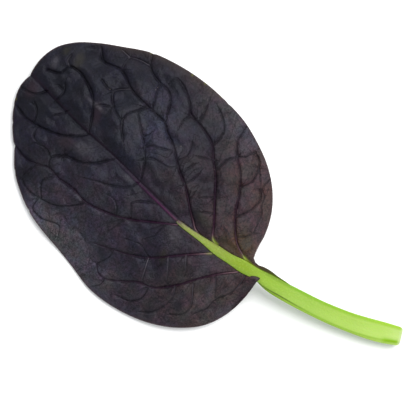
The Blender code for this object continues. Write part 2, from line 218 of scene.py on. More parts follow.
# A painted highlight along the start of some branches: how pale each starts, by the point where it starts,
# and over what length.
PALE_BRANCHES = {
    (-15.9, 24.2): 0.42, (-12.2, 20.5): 0.34, (-8.7, 17.3): 0.28, (-13.4, 10.8): 0.32, (-16.7, 14.1): 0.25,
    (-8.3, 7.3): 0.22, (-2.7, 2.0): 0.3, (22.8, 57.1): 0.34, (8.6, 73.2): 0.25, (14.7, 57.0): 0.25,
    (20.9, 62.7): 0.34,
}
PALE_LENGTH = 9.0

# A side vein leaves the rib with this share of its depth, and has all of it after this length. A vein is
# felt up to VEIN_REACH away, where two meet the deeper one counts for more, and the line of a later vein
# shows only where it is closer by LINE_LEAD.
SIDE_VEIN_RISE = (0.2, 6.5)
VEIN_STEP = 0.8
VEIN_REACH = 4.5
VEIN_MEETING = 4
LINE_LEAD = 0.05

# The blade's arch and thickness. The margin stays up where it nears the stalk. A valley or gutter is
# (width, depth), a wave (size, waves round the blade, start) and a pucker (size, width). ARCH_SPARE keeps
# the arch from falling all the way where the margin is close to the stalk.
MARGIN_HEIGHT = 1.1
MARGIN_LIFT_WIDTH = 7.5
ARCH_POWER = 1.8
ARCH_SPARE = 0.8
RIB_VALLEY = (4.0, 0.9)
MARGIN_WAVES = ((0.5, 3, 1.2), (0.35, 5, 0.6), (0.3, 9, 2.0))
WAVE_REACH = 9.0
WAVE_CENTRE = (0.0, 40.0)
FLOOR_SOFTNESS = 0.3
FLOOR_GAP = 0.02
THICKNESS = 0.42
EDGE_THICKNESS = 0.14
EDGE_ROUNDING = 0.4
PUCKERS = ((0.42, 4.2), (0.18, 2.0), (0.05, 1.1))
PUCKER_SEED = 3
PUCKER_RISE_FROM_RIB = 3.0
PUCKER_RISE_FROM_MARGIN = 2.0
GUTTER = (0.35, 0.15)
CEILING = 9.2
CEILING_SOFTNESS = 0.25

# Under the green rib the blade lies lower by DIVE, which it reaches over DIVE_WIDTH. GREEN_FADE is the
# length over which the green rib ends. The wing is what lies below WING_TOP and this far out on the right,
# and it comes in over WING_FADE.
DIVE = 1.1
DIVE_WIDTH = 0.3
GREEN_FADE = 2.0
WING_TOP = 2.5
WING_FADE = 3.0
WING_WIDTH = 5.0

# What stands out below a vein: this share of its depth, at most so much of it, within this width.
UNDER_VEIN = (0.5, 0.7, 0.8)

# The rib past its green part, as (y, size) stations: a fine raised line in a trough, with a ditch on its
# right that becomes the only line towards the tip. Below, it stands out as a ridge.
RIB_TROUGH = ((GREEN_END, 0.0), (40, 0.2), (55, 0.35), (70, 0.3), (TIP, 0.2))
RIB_TROUGH_WIDTH = 1.1
RIB_KEEL = ((GREEN_END, 0.2), (45, 0.12), (55, 0.0), (TIP, 0.0))
RIB_KEEL_WIDTH = 0.35
RIB_DITCH = ((GREEN_END, 0.2), (45, 0.2), (60, 0.22), (TIP, 0.14))
RIB_DITCH_X = ((GREEN_END, 0.65), (45, 0.5), (58, 0.1), (TIP, 0.0))
RIB_DITCH_WIDTH = 0.32
UNDER_RIB = ((GREEN_END, 1.0), (45, 0.75), (65, 0.45), (TIP, 0.1))
UNDER_RIB_WIDTH = 0.9

# The left lobe's tip lies over the stalk: from the first y to the second it comes to reach in by the third
# value, and it ends LOBE_END below. It is lifted, by all of LOBE_LIFT once it reaches in by LOBE_LIFT_FULL,
# and by less farther out.
LOBE_COVER = (2.0, -1.45, 1.2)
LOBE_END = 0.1
LOBE_LIFT = 0.5
LOBE_LIFT_FULL = 0.6
LOBE_LIFT_WIDTH = 1.5

# How bright a white face lies under the lights, and what share of that comes from the lamp, which gives a
# brightness of 1 at LAMP_WATTS. Its size and place are in metres. The sky is ZENITH_SHARE as bright straight
# above as an even one, and as much brighter at the horizon, so that a flat face gets the same light from it.
LIGHT_LEVEL = 1.8
LAMP_SHARE = 0.62
LAMP_WATTS = 7.6
LAMP_SIZE = 0.6
LAMP_PLACE = (0.4, -0.03, 0.7)
ZENITH_SHARE = 0.35
SKY_TINT = (0.96, 0.98, 1.0)

# The table: half its width in metres, its white, and its faint glow.
TABLE_REACH = 1.5
TABLE_WHITE = (0.92, 0.92, 0.92, 1)
TABLE_GLOW = 0.04

# The camera, in millimetres and degrees: above this point, and this wide a view at the table.
CAMERA_PLACE = (6.1, 1.5)
CAMERA_HEIGHT = 600.0
CAMERA_TURN = -49.05
VIEW_WIDTH = 110.4
SENSOR_WIDTH = 36.0

# Rows run along the rib and columns across the blade, closer together beside the rib. The upper face has
# FINER times as many of both.
BLADE_ROWS = 102
BLADE_COLUMNS = 86
FINER = 3
COLUMN_SPREAD = 1.2

# Patches of the skin, as (x, y, half length, half width, turn in degrees): darker patches of painted shade,
# red-brown, paler patches of painted sheen where slopes catch the light, and olive.
PATCHES = {
    "painted_shade": (
        (3.2, 74.6, 2.2, 1.6, 40), (3.0, 70.3, 3.4, 2.6, 70), (-4.8, 71.5, 4.2, 2.2, 60),
        (-1.5, 63.5, 3.5, 1.5, 80), (23.2, 48.4, 3.5, 2.2, 100), (-23.2, 34.2, 2.4, 1.3, 60),
        (-26.8, 14.7, 2.2, 1.3, 30), (0.8, 20.5, 3.4, 1.4, 80), (-20.5, 9.8, 2.0, 1.2, 20),
        (12.5, 55.0, 4.0, 1.6, 80), (-18.9, 29.6, 6.5, 0.55, 114), (-21.5, 52.3, 1.0, 4.0, 20),
    ),
    "rust": (
        (-2.3, 77.0, 2.6, 1.8, 20), (4.0, 59.4, 3.0, 1.2, 35), (-18.6, 52.5, 2.6, 1.6, 60),
        (-17.4, 32.4, 3.6, 1.3, 60), (-7.0, 60.5, 2.2, 1.4, 120), (-15.5, 9.5, 3.0, 1.4, 20),
    ),
    "painted_sheen": (
        (-24.9, 39.7, 2.8, 1.1, 100), (-15.8, 48.5, 1.7, 0.55, 80), (-6.7, 23.1, 2.6, 1.4, 60),
        (10.4, 37.6, 2.6, 1.2, 95), (-9.6, 11.1, 3.0, 1.6, 30), (7.1, 77.0, 1.8, 0.9, 20),
        (-5.7, 56.1, 2.6, 1.4, 120), (5.4, 61.0, 0.6, 3.4, 0), (-3.6, 42.1, 1.6, 0.8, 100),
    ),
    "olive": (
        (0.6, 10.7, 3.4, 1.6, 75), (1.2, 19.7, 2.6, 1.3, 80), (4.5, 8.6, 3.0, 2.0, 30),
        (11.3, 76.7, 1.3, 1.0, 20), (-12.8, 8.3, 1.8, 1.2, 30), (11.5, 72.4, 2.4, 1.3, 20),
        (-13.0, 21.6, 2.0, 1.0, 20),
    ),
}
PATCH_FLATNESS = 1.5

# The stalk: shares of its rows for the cut face, for the rounding beside it, and for its end in the blade,
# and how far round its section the left rim and the fold come.
STALK_ROWS = 220
STALK_RING = 90
STALK_ROW_SHARES = (0.05, 0.06, 0.03)
STALK_TURNS = (0.5, 0.6)

# The colour of its upper face starts at this share of the way to the left rim, and comes in and goes again
# over these shares of the whole way round.
FACE_START = 0.9
FACE_FADES = (0.05, 0.04)

# As (y, value) stations: where the fold lies, as a share of half the width, and how deep the channel is, in
# millimetres. The rims lie RIM_DOWN of the section's depth below its top, and the powers set how sharp the
# rim, the channel and the belly are.
FOLD = ((CUT_END, -0.6), (-36, -0.66), (-30, -0.76), (-14, -0.72), (-6, -0.7), (-3, -0.84), (1, -0.95))
CHANNEL_DEPTH = ((CUT_END, 0.12), (-10, 0.08), (5, 0.04), (25, 0.02))
RIM_DOWN = 0.06
RIM_POWER = 6
CHANNEL_POWER = 1.5
BELLY_POWER = 0.9

# The cut edge is rounded by FOOT_ROUNDING. The rib runs on by RIB_OVERLAP past its green part and stands
# RIB_PROUD above RIB_TOP, and at both ends its section shrinks to a point this share of its depth down.
FOOT_ROUNDING = 0.9
RIB_OVERLAP = 1.2
RIB_PROUD = 0.06
SECTION_MIDDLE = 0.45
STALK_GAP = 0.01
JOINING = 1e-6


def along(stations, at):
    """Values at some places of the smooth curve through (place, value) stations."""
    places, values = np.array(stations, float).T
    slopes = np.gradient(values, places)
    at = np.clip(at, places[0], places[-1])
    i = np.clip(np.searchsorted(places, at) - 1, 0, len(places) - 2)
    step = places[i + 1] - places[i]
    t = (at - places[i]) / step
    rise = values[i + 1] - values[i]
    start, end = slopes[i] * step - rise, rise - slopes[i + 1] * step
    return values[i] + t * rise + t * (1 - t) * ((1 - t) * start + t * end)


class Route:
    """A smooth curve through points of the plan, read by the distance travelled along it."""

    def __init__(self, points, step):
        points = np.array(points, float)
        gaps = np.linalg.norm(np.diff(points, axis=0), axis=1)
        self.passed = np.concatenate([[0], np.cumsum(gaps)])
        self.points = points
        count = max(3, round(self.passed[-1] / step) + 1)
        self.line = self.at(np.linspace(0, self.passed[-1], count))

    def at(self, travelled):
        """The points of the plan at these distances along the curve."""
        columns = [along(np.column_stack([self.passed, self.points[:, k]]), travelled) for k in (0, 1)]
        return np.column_stack(columns)


def nearest(points, line):
    """Distance of each point from a line, the side it is on, and the share of the line passed there."""
    best = np.full(len(points), np.inf)
    side, share = np.zeros(len(points)), np.zeros(len(points))
    for i, (start, end) in enumerate(zip(line[:-1], line[1:])):
        span, offset = end - start, points - start
        t = np.clip(offset @ span / (span @ span), 0, 1)
        far = np.linalg.norm(offset - t[:, None] * span, axis=1)
        closer = far < best
        best[closer] = far[closer]
        side[closer] = np.sign(span[0] * offset[closer, 1] - span[1] * offset[closer, 0])
        share[closer] = (i + t[closer]) / (len(line) - 1)
    return best, side, share


def smooth(value):
    """A soft step from 0 to 1."""
    value = np.clip(value, 0, 1)
    return value * value * (3 - 2 * value)


def bell(value):
    """A soft peak of 1 where the value is 0."""
    return np.exp(-(value**2))


def unit(vectors):
    """The same directions, one long."""
    return vectors / np.maximum(np.linalg.norm(vectors, axis=1), 1e-6)[:, None]


def rolling(x, y, size, seed):
    """Soft random hills and hollows about a given size across, mostly from -1 to 1."""
    draw = np.random.default_rng(seed)
    total = np.zeros(len(x))
    count = 14
    for _ in range(count):
        turn, phase, stretch = draw.uniform(0, math.tau), draw.uniform(0, math.tau), draw.uniform(0.7, 1.5)
        total += np.sin(math.tau / (size * 2 * stretch) * (x * math.cos(turn) + y * math.sin(turn)) + phase)
    return total / math.sqrt(count)


def blade_plan(rows, across):
    """Places in plan for rows along the rib, from 0 to 1, and across from -1 at the left margin to 1."""
    rib_y = WING_FOOT + rows * (LAST_ROW - WING_FOOT)
    rib = np.column_stack([along(RIB_X, rib_y), rib_y])
    out = np.empty_like(rib)
    for side, margin, reach in ((1, RIGHT_MARGIN, RIGHT_REACH), (-1, LEFT_MARGIN, LEFT_REACH)):
        route = Route(margin, MARGIN_STEP)
        y, index = np.array(reach, float).T
        travelled = np.interp(rib_y, y, route.passed[index.astype(int)])
        this = (across * side) >= 0
        out[this] = route.at(travelled[this])
    for nick_x, nick_y, width, depth in NICKS:
        near = bell(np.hypot(out[:, 0] - nick_x, out[:, 1] - nick_y) / width)
        out -= (near * depth)[:, None] * unit(out - rib)
    share = np.abs(across)[:, None] ** COLUMN_SPREAD
    return rib + (out - rib) * share


def vein_relief(plan):
    """What the veins do at each point: the depth pressed in, the distance from the nearest vein, and fields
    for that vein: the same distance with a sign for its side, its strength, and how green, pale and purple
    it is."""
    count = len(plan)
    pressed, nearest_far = np.zeros(count), np.full(count, VEIN_REACH)
    fields = {name: np.zeros(count) for name in ("vein_power", "vein_green", "vein_pale", "vein_purple")}
    fields["vein_side"] = np.full(count, VEIN_REACH)
    for routes, valley, depth, groove, cut, first, last in VEIN_LOOKS:
        starts = VEIN_STARTS
        if routes is not SIDE_VEINS:
            starts = [(0, PALE_BRANCHES.get(points[0], 0), PALE_LENGTH, 0, 1) for points in routes]
        for points, (green, pale, pale_length, purple, purple_length) in zip(routes, starts):
            route = Route(points, VEIN_STEP)
            low, high = route.line.min(0) - VEIN_REACH, route.line.max(0) + VEIN_REACH
            here = np.flatnonzero(((plan > low) & (plan < high)).all(1))
            far, side, share = nearest(plan[here], route.line)
            run = share * route.passed[-1]
            power = first + (last - first) * share
            pull = power / first * (depth * np.exp(-far / valley) + cut * bell(far / groove))
            if routes is SIDE_VEINS:
                from_share, rise_length = SIDE_VEIN_RISE
                pull *= from_share + (1 - from_share) * smooth(run / rise_length)
            pressed[here] += pull**VEIN_MEETING
            closer = far < nearest_far[here] - LINE_LEAD
            spot = here[closer]
            nearest_far[spot] = far[closer]
            green_here = green * bell(run / GREEN_LENGTH)
            looks = {
                "vein_side": far * side,
                "vein_power": power * (1 - GREEN_HIDES * np.minimum(green_here, 1)),
                "vein_green": green_here,
                "vein_pale": pale * np.exp(-run / pale_length),
                "vein_purple": purple * np.exp(-run / purple_length),
            }
            for name, values in looks.items():
                fields[name][spot] = values[closer]
    return pressed ** (1 / VEIN_MEETING), nearest_far, fields


def left_cover(y):
    """How far the left half of the blade reaches in over the stalk."""
    start, end, reach = LOBE_COVER
    return reach * smooth((start - y) / (start - end)) * (y > end - LOBE_END)


def blade_heights(plan):
    """The blade's upper face and underside, and the fields that its finish reads."""
    x, y = plan.T
    beside = x - along(RIB_X, y)
    green = 1 - smooth((y - GREEN_END + GREEN_FADE / 2) / GREEN_FADE)
    half = along(RIB_HALF_WIDTH, y) * green
    cover = np.where(beside < 0, left_cover(y), 0)
    off = np.maximum(np.abs(beside) - np.maximum(half - cover, 0), 0)
    right = Route(RIGHT_MARGIN[RIGHT_FREE:], MARGIN_STEP).line
    left = Route(LEFT_MARGIN[LEFT_FREE:], MARGIN_STEP).line
    inward = np.minimum(nearest(plan, right)[0], nearest(plan, left)[0])
    crown = along(RIB_TOP, y)
    turn = np.arctan2(y - WAVE_CENTRE[1], x - WAVE_CENTRE[0])
    waves = sum(size * np.sin(count * turn + start) for size, count, start in MARGIN_WAVES)
    hem = MARGIN_HEIGHT + waves * np.exp(-inward / WAVE_REACH)
    hem += (crown - hem) * bell(off / MARGIN_LIFT_WIDTH)
    fall = (off / (off + inward + ARCH_SPARE)) ** ARCH_POWER
    valley_width, valley_depth = RIB_VALLEY
    beside_rib = valley_depth * (1 - bell(off / valley_width)) * (1 - fall)
    pressed, far, fields = vein_relief(plan)
    wing = smooth((WING_TOP - y) / WING_FADE) * (beside > 0) * (beside < WING_WIDTH)
    pressed *= 1 - wing
    pucker = sum(size * rolling(x, y, width, PUCKER_SEED + k) for k, (size, width) in enumerate(PUCKERS))
    pucker *= smooth(off / PUCKER_RISE_FROM_RIB) * smooth(inward / PUCKER_RISE_FROM_MARGIN) * (1 - wing)
    gutter_width, gutter_depth = GUTTER
    gutter = gutter_depth * bell(off / gutter_width) * green
    upper_rib = smooth((y - GREEN_END) / GREEN_FADE)
    trough = along(RIB_TROUGH, y) * bell(beside / RIB_TROUGH_WIDTH) * upper_rib
    keel = along(RIB_KEEL, y) * bell(beside / RIB_KEEL_WIDTH) * upper_rib
    ditch = along(RIB_DITCH, y) * bell((beside - along(RIB_DITCH_X, y)) / RIB_DITCH_WIDTH) * upper_rib
    low = crown + (hem - crown) * fall + beside_rib + pucker - pressed - gutter - trough - ditch + keel
    low += LOBE_LIFT * smooth(cover / LOBE_LIFT_FULL) * bell(off / LOBE_LIFT_WIDTH) - THICKNESS
    low = (low + np.sqrt(low**2 + FLOOR_SOFTNESS**2)) / 2
    over = low + THICKNESS - CEILING
    top = CEILING + (over - np.sqrt(over**2 + CEILING_SOFTNESS**2)) / 2
    inside = smooth((half - cover - np.abs(beside)) / DIVE_WIDTH) * green
    top -= DIVE * inside
    thick = EDGE_THICKNESS + (THICKNESS - EDGE_THICKNESS) * (1 - np.exp(-inward / EDGE_ROUNDING))
    share, most, width = UNDER_VEIN
    ridge = share * np.minimum(pressed, most) * bell(far / width)
    ridge += bell(beside / UNDER_RIB_WIDTH) * upper_rib * along(UNDER_RIB, y)
    bottom = np.maximum(top - thick - ridge, FLOOR_GAP)
    fields["vein_power"] *= 1 - wing
    fields.update({"rib_side": beside, "rib_far": off, "edge": inward, "wing": wing})
    return top, bottom, fields


def patch(plan, spots):
    """A field that is 1 in the middle of each oval spot and fades out round it."""
    total = np.zeros(len(plan))
    for x, y, length, width, turn in spots:
        turn = math.radians(turn)
        offset = plan - (x, y)
        on = offset @ (math.cos(turn), math.sin(turn)) / length
        off = offset @ (-math.sin(turn), math.cos(turn)) / width
        total = np.maximum(total, np.exp(-((on**2 + off**2) ** PATCH_FLATNESS)))
    return total


def flat_grid(name, rows, columns, size):
    """A mesh of one flat grid."""
    bm = bmesh.new()
    bmesh.ops.create_grid(bm, x_segments=rows, y_segments=columns, size=size)
    mesh = bpy.data.meshes.new(name)
    bm.to_mesh(mesh)
    bm.free()
    return mesh


def closed_grid(name, rows, columns):
    """A flat grid on top and a coarser twin below, closed all round. The field upper is 1 on top, 0 below."""
    bm = bmesh.new()
    bmesh.ops.create_grid(bm, x_segments=rows, y_segments=columns, size=1.0)
    top_edges = bm.edges[:]
    upper = bm.verts.layers.float.new("upper")
    for vert in bm.verts:
        vert[upper] = 1.0
    made = bmesh.ops.extrude_face_region(bm, geom=bm.faces[:], use_keep_orig=True)["geom"]
    for item in made:
        if isinstance(item, bmesh.types.BMVert):
            item[upper] = 0.0
    bmesh.ops.subdivide_edges(bm, edges=top_edges, cuts=FINER - 1, use_grid_fill=True)
    mesh = bpy.data.meshes.new(name)
    bm.to_mesh(mesh)
    bm.free()
    return mesh


def read(mesh, name=None):
    """A mesh's coordinates, or one of its float fields, as an array."""
    if name is None:
        flat = np.empty(len(mesh.vertices) * 3)
        mesh.vertices.foreach_get("co", flat)
        return flat.reshape(-1, 3)
    flat = np.empty(len(mesh.vertices))
    mesh.attributes[name].data.foreach_get("value", flat)
    return flat


def write_fields(mesh, fields):
    """Gives each point of a mesh its value of each named field."""
    for name, values in fields.items():
        field = mesh.attributes.new(name, "FLOAT", "POINT")
        field.data.foreach_set("value", np.asarray(values, dtype=np.float32))


def place(mesh, points):
    """Moves a mesh's points to these places of the leaf, given in millimetres."""
    world = (points - PLAN_CENTRE) * MM
    mesh.vertices.foreach_set("co", world.astype(np.float32).ravel())
    mesh.update()


def added(name, data):
    """A new object in the scene."""
    item = bpy.data.objects.new(name, data)
    bpy.context.scene.collection.objects.link(item)
    return item


def add_piece(name, node, mesh, finish, merge=None):
    """Adds a closed, outward-facing piece with its finish, which stands for a solid."""
    bm = bmesh.new()
    bm.from_mesh(mesh)
    if merge:
        bmesh.ops.remove_doubles(bm, verts=bm.verts, dist=merge)
    bmesh.ops.recalc_face_normals(bm, faces=bm.faces)
    bm.to_mesh(mesh)
    bm.free()
    mesh.shade_smooth()
    mesh.materials.append(finish.material)
    piece = added(name, mesh)
    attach(piece, "root")
    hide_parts(node)


class Value:
    """An output socket, on which plain arithmetic adds Math nodes."""

    def __init__(self, nodes, socket):
        self.nodes, self.socket = nodes, socket

    def maths(self, operation, *values):
        return self.nodes.node("ShaderNodeMath", {"operation": operation}, dict(enumerate(values)))

    def __add__(self, other):
        return self.maths("ADD", self, other)

    def __sub__(self, other):
        return self.maths("SUBTRACT", self, other)

    def __rsub__(self, other):
        return self.maths("SUBTRACT", other, self)

    def __mul__(self, other):
        return self.maths("MULTIPLY", self, other)

    def __truediv__(self, other):
        return self.maths("DIVIDE", self, other)

    def __neg__(self):
        return self * -1

    __radd__ = __add__
    __rmul__ = __mul__

    def at_least(self, low):
        return self.maths("MAXIMUM", self, low)

    def bell(self):
        """A soft peak of 1 where the value is 0."""
        return self.maths("EXPONENT", -(self * self))

    def step(self, low, high):
        """A soft step from 0 at low to 1 at high."""
        settings = {"interpolation_type": "SMOOTHSTEP"}
        return self.nodes.node("ShaderNodeMapRange", settings, {0: self, 1: low, 2: high})


class Nodes:
    """A tree of nodes, which are all added in one way."""

    def __init__(self, tree):
        self.tree = tree

    def node(self, kind, settings, values, output=0):
        """Adds one node: its settings first, then the values or links of its sockets."""
        node = self.tree.nodes.new(kind)
        for name, value in settings.items():
            setattr(node, name, value)
        for socket, value in values.items():
            self.feed(node.inputs[socket], value)
        return Value(self, node.outputs[output])

    def feed(self, socket, value):
        if isinstance(value, Value):
            self.tree.links.new(value.socket, socket)
        else:
            socket.default_value = value

    def scaled(self, tint, share):
        """A colour or a vector times a number."""
        return self.node("ShaderNodeVectorMath", {"operation": "SCALE"}, {0: tint, "Scale": share})


class Finish(Nodes):
    """One material, whose tint is painted in layers."""

    def __init__(self, name, constants):
        self.material = bpy.data.materials.new(name)
        self.material.use_nodes = True
        super().__init__(self.material.node_tree)
        self.shader = self.tree.nodes["Principled BSDF"]
        for socket, value in constants.items():
            self.set(socket, value)

    def set(self, socket, value):
        self.feed(self.shader.inputs[socket], value)

    def field(self, name):
        return self.node("ShaderNodeAttribute", {"attribute_name": name}, {}, "Fac")

    def blend(self, share, first, second):
        """The first colour, turning into the second as share goes from 0 to 1."""
        return self.node("ShaderNodeMix", {"data_type": "RGBA"}, {0: share, 6: first, 7: second}, 2)

    def paint(self, share, *rgb):
        """Turns the tint so far into a colour, from 0 to 255, as far as share says, from 0 to 1."""
        self.tint = self.blend(share, self.tint, colour(*rgb))

    def tinted(self, tint, cast):
        """A colour times another."""
        return self.node("ShaderNodeVectorMath", {"operation": "MULTIPLY"}, {0: tint, 1: cast})

    def gradient(self, value, stops):
        """A colour that passes smoothly through (value, colour) stops."""
        tint = colour(*stops[0][1])
        for (low, _), (high, following) in zip(stops, stops[1:]):
            tint = self.blend(value.step(low, high), tint, colour(*following))
        return tint

    def read_position(self):
        """Where each point lies in the world, in metres."""
        return self.node("ShaderNodeTexCoord", {}, {}, "Object")

    def plan(self, position):
        """A position as millimetres to the world's right and forward."""
        return [self.node("ShaderNodeSeparateXYZ", {}, {0: position}, axis) / MM for axis in (0, 1)]

    def moved(self, position, right, forward):
        """The position moved by some millimetres, so that a pattern comes out differently."""
        offset = (right * MM, forward * MM, 0)
        return self.node("ShaderNodeVectorMath", {"operation": "ADD"}, {0: position, 1: offset})

    def clouds(self, position, size, detail=2.0):
        """Soft random values about 0.5, with blotches this many millimetres across."""
        values = {"Vector": position, "Scale": 1 / (size * MM), "Detail": detail}
        return self.node("ShaderNodeTexNoise", {}, values)

    def warped(self, position, size, reach):
        """The position pushed about at random by up to reach millimetres."""
        noise = {"Vector": position, "Scale": 1 / (size * MM)}
        push = self.node("ShaderNodeTexNoise", {}, noise, 1)
        push = self.node("ShaderNodeVectorMath", {"operation": "SUBTRACT"}, {0: push, 1: (0.5, 0.5, 0.5)})
        push = self.scaled(push, 2 * reach * MM)
        return self.node("ShaderNodeVectorMath", {"operation": "ADD"}, {0: position, 1: push})

    def cells(self, position, size, feature):
        """A pattern of random cells this many millimetres across."""
        values = {"Vector": position, "Scale": 1 / (size * MM)}
        return self.node("ShaderNodeTexVoronoi", {"feature": feature}, values)

    def bump(self, height, distance):
        """Raises the surface by height times distance, in metres."""
        self.set("Normal", self.node("ShaderNodeBump", {}, {"Distance": distance, "Height": height}))


def colour(*rgb):
    """The colour of a face that looks like this, from 0 to 255, lying flat under the lights."""
    shares = [c / 255 for c in rgb]
    linear = [c / 12.92 if c <= 0.04045 else ((c + 0.055) / 1.055) ** 2.4 for c in shares]
    return [c / LIGHT_LEVEL for c in linear] + [1.0]


class LeafSkin(Finish):
    """Satin purple-black skin, cool towards the tip and brown near the stalk, with painted broad lights and
    shadows and fine dark creases darkened with painted shade, and a duller, greener underside. Its layers are
    painted one over the other, placed by the mesh's fields and by millimetres from the world's origin."""

    def __init__(self):
        super().__init__("purple_leaf_skin", {
            "Specular IOR Level": 0.17, "Specular Tint": (0.85, 0.88, 1.0, 1.0),
        })
        self.position = self.read_position()
        self.x, self.y = self.plan(self.position)
        self.side, self.power = self.field("vein_side"), self.field("vein_power")
        self.rib, self.rib_far, self.edge = self.field("rib_side"), self.field("rib_far"), self.field("edge")
        self.wing = self.field("wing")
        self.broad, self.blotch = self.clouds(self.position, 14), self.clouds(self.position, 4.0)
        self.fine, self.grain = self.clouds(self.position, 0.7, 3), self.clouds(self.position, 0.28, 1)
        self.hue = self.clouds(self.moved(self.position, 31, 17), 2.6, 3)
        self.paint_ground()
        self.paint_lights()
        self.paint_mottling()
        self.paint_veins()
        self.paint_midrib()
        self.paint_wing()
        self.paint_margin()
        self.set("Base Color", self.blend(self.field("upper"), self.underside(), self.tint))
        self.set("Roughness", 0.5 + (self.blotch - 0.5) * 0.16 + (self.grain - 0.5) * 0.2)
        groove = (self.side / 0.26).bell() * self.power
        relief = self.net * -0.1 + groove * -1.3 + self.fine * 0.75 + self.blotch * 0.8 + self.grain * 0.5
        self.bump(relief, 0.0002)

    def oval(self, x, y, half_width, half_height):
        """A share that is 1 in the middle of an oval and fades out round it."""
        return ((self.x - x) / half_width).bell() * ((self.y - y) / half_height).bell()

    def paint_ground(self):
        """Near black at the tip, browner towards the stalk."""
        uneven = self.broad - 0.5
        warmth = ((self.x - self.y) * 0.7 + uneven * 34).step(-14, 42)
        self.tint = self.blend(warmth, colour(17, 15, 27), colour(80, 62, 56))
        near_base = (-self.y + uneven * 24).step(-22, 30)
        self.paint(near_base * 0.5, 62, 42, 52)

    def paint_lights(self):
        """The broad lights and the one broad shadow, from the upper left to the rib's foot."""
        x, y, edge = self.x, self.y, self.edge
        left_half = self.oval(-13, 25, 9, 19)
        self.paint(left_half * 0.36, 73, 65, 77)
        middle = self.oval(14.5, 25, 8, 9)
        self.paint(middle * 0.5, 68, 67, 80)
        right_shadow = self.oval(20, 16, 8, 10)
        self.paint(right_shadow * 0.6, 20, 17, 28)
        low_left = (-x - y * 0.9 + (self.broad - 0.5) * 20).step(4, 30)
        self.paint(low_left * 0.36, 72, 64, 69)
        lobe = self.oval(-13, -13, 9, 8)
        self.paint(lobe * 0.45, 74, 66, 60)
        right_rim = (edge / 7).bell() * x.step(10, 26) * y.step(-4, 8) * (1 - y.step(8, 28))
        self.paint(right_rim * 0.34, 76, 80, 88)
        left_rim = (edge / 9).bell() * (-x).step(10, 24) * (1 - y.step(34, 44)) * y.step(-2, 20)
        self.paint(left_rim * 0.68, 87, 83, 91)
        beside_rib_foot = self.oval(3.5, -12.5, 4.5, 7)
        self.paint(beside_rib_foot * 0.6, 80, 60, 20)

    def paint_mottling(self):
        """Random shifts of colour and tone, and the listed patches."""
        cast = self.clouds(self.moved(self.position, -23, 41), 5.0, 4)
        for noise, low, high in (
            (self.hue, (0.87, 1.06, 1.02, 1), (1.13, 0.93, 0.98, 1)),
            (cast, (0.96, 0.92, 1.16, 1), (1.05, 1.03, 0.88, 1)),
        ):
            self.tint = self.tinted(self.tint, self.blend(noise.step(0.3, 0.7), low, high))
        tone = 1.07 + (self.blotch - 0.5) * 1.5 + (self.fine - 0.5) * 2.1 + (self.grain - 0.5) * 2.6
        self.tint = self.scaled(self.tint, tone.at_least(0.25))
        # Painted shade in the darker patches.
        self.paint(self.field("painted_shade") * 0.66, 18, 19, 27)
        self.paint(self.field("rust") * 0.36, 66, 46, 54)
        self.paint(self.field("olive") * 0.38, 58, 54, 34)
        # Painted sheen: paler patches where slopes catch the light.
        self.paint(self.field("painted_sheen") * (self.fine + 0.1) * 0.5, 96, 92, 98)

    def paint_veins(self):
        """A net of fine dark lines, the painted shade in each vein's crease, and its purple, pale and green
        start.
        """
        green, pale, purple = (self.field("vein_" + name) for name in ("green", "pale", "purple"))
        net = self.cells(self.warped(self.position, 3.0, 0.4), 3.0, "DISTANCE_TO_EDGE")
        clear = self.edge.step(0.2, 1.5) * self.rib_far.step(0.5, 2.5) * self.hue.step(0.3, 0.65)
        self.net = (1 - net.step(0.01, 0.07)) * clear
        self.paint(self.net * 0.5, 16, 14, 22)
        # Painted shade: the dark line in each vein's crease.
        self.paint((self.side / 0.14).bell() * self.power * 0.95, 10, 8, 15)
        self.paint((self.side / 0.24).bell() * purple * 0.9, 58, 8, 50)
        # The pale line is the vein's own paler tissue on the side veins, and a painted highlight on the
        # branches listed in PALE_BRANCHES.
        pale_tint = self.blend(purple.step(0.05, 0.4), colour(112, 106, 116), colour(142, 112, 116))
        self.tint = self.blend((self.side / 0.15).bell() * pale.step(0.04, 0.6), self.tint, pale_tint)
        self.paint((self.side / 0.32).bell() * green.step(0.2, 0.9), 160, 184, 56)

    def paint_midrib(self):
        """Past the green rib, a purple band with a dark line of painted shade in the ditch on its right, and
        a lighter strand along it.
        """
        past_green = self.y.step(4.6, 6.2)
        fading = 1 - self.y.step(12, 31)
        self.paint(((self.rib - 0.2) / 0.5).bell() * past_green * fading * 0.85, 44, 4, 42)
        # Painted shade in the ditch on the rib's right.
        self.paint(((self.rib - 0.6) / 0.28).bell() * past_green * 0.8, 24, 4, 24)
        strand = ((self.rib - 0.04) / 0.26).bell() * past_green * fading
        self.tint = self.blend(strand, self.tint, self.gradient(self.y, (
            (5, (90, 50, 74)), (10, (72, 18, 62)), (18, (50, 4, 46)), (24, (36, 8, 36)),
        )))
        beside_green = (self.rib_far / 0.28).bell() * (1 - past_green)
        self.paint(beside_green * 0.65, 58, 54, 20)
        wedge = beside_green * self.rib.step(0.5, 1.0) * self.y.step(-21, -19) * (1 - self.y.step(-16, -13))
        self.paint(wedge, 132, 140, 30)

    def paint_wing(self):
        """The wing turns green down the stalk, and greener where it meets it."""
        self.tint = self.blend(self.wing * 0.95, self.tint, self.gradient(self.y, (
            (-29, (112, 146, 14)), (-24, (80, 90, 16)), (-20.5, (72, 62, 32)),
        )))
        self.paint(self.wing * (self.rib_far / 0.22).bell() * 0.8, 130, 170, 20)

